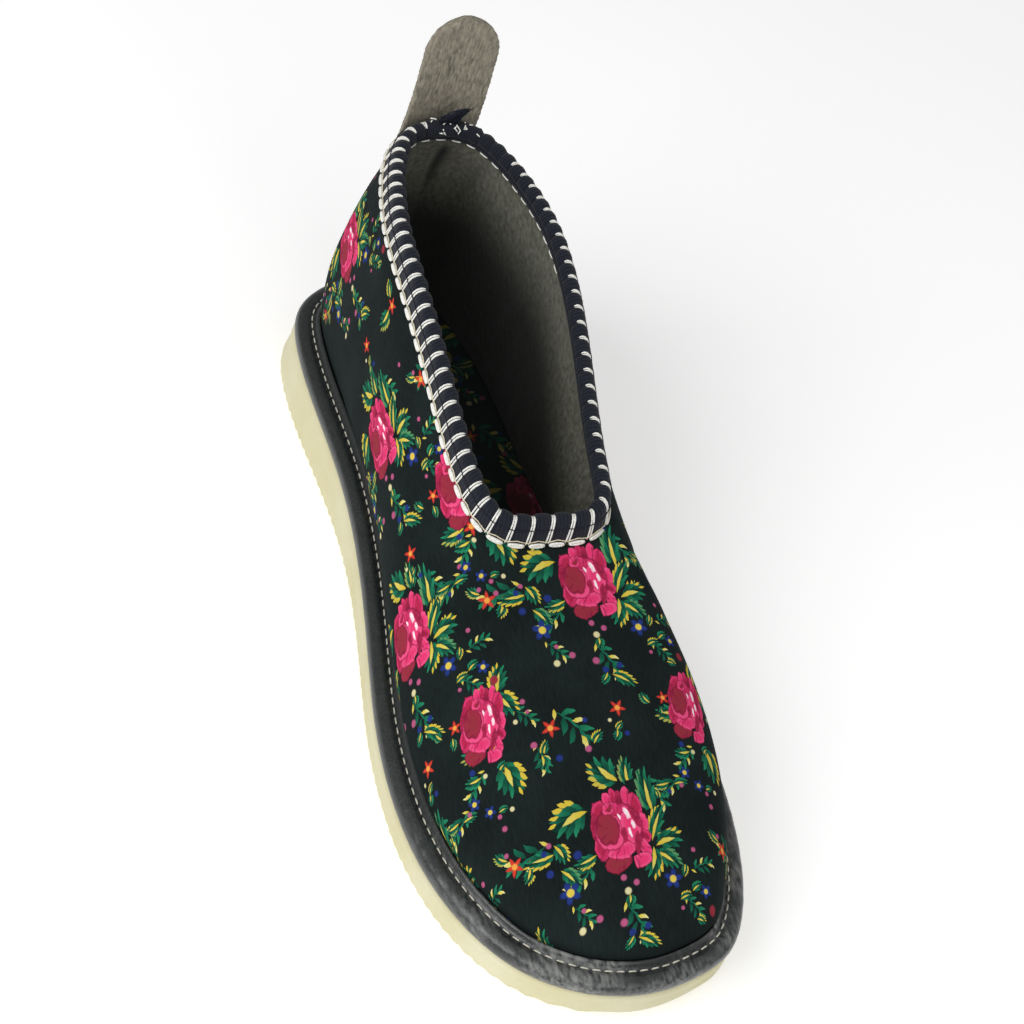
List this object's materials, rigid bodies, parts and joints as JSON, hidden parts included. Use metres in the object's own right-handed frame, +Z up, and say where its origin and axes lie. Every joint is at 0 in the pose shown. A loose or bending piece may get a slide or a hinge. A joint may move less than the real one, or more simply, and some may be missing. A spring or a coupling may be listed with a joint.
{
  "type": "heeled slipper",
  "caption": "Low folk house slipper, right shoe: printed cotton upper with bound collar and felt finger tab, stitched leather rand, foam wedge sole.",
  "frame": {"origin": "on the floor under the middle of the shoe's box", "axes": "+Z up, toe towards -Y, medial side towards +X"},
  "size_m": [0.0972, 0.2622, 0.1413],
  "materials": {
    "outsole": "matte cream foam",
    "rand": "smooth black leather, soft sheen",
    "insole": "printed cotton sock on a foam core",
    "upper": "printed cotton outside, grey felt inside",
    "collar_binding": "navy tape, overcast in white",
    "pull_tab": "grey felt"
  },
  "bodies": {
    "root": {"outsole": "outsole", "rand": "rand", "insole": "insole", "upper": "upper", "collar_binding": "collar_binding", "pull_tab": "pull_tab"}
  },
  "joints": []
}
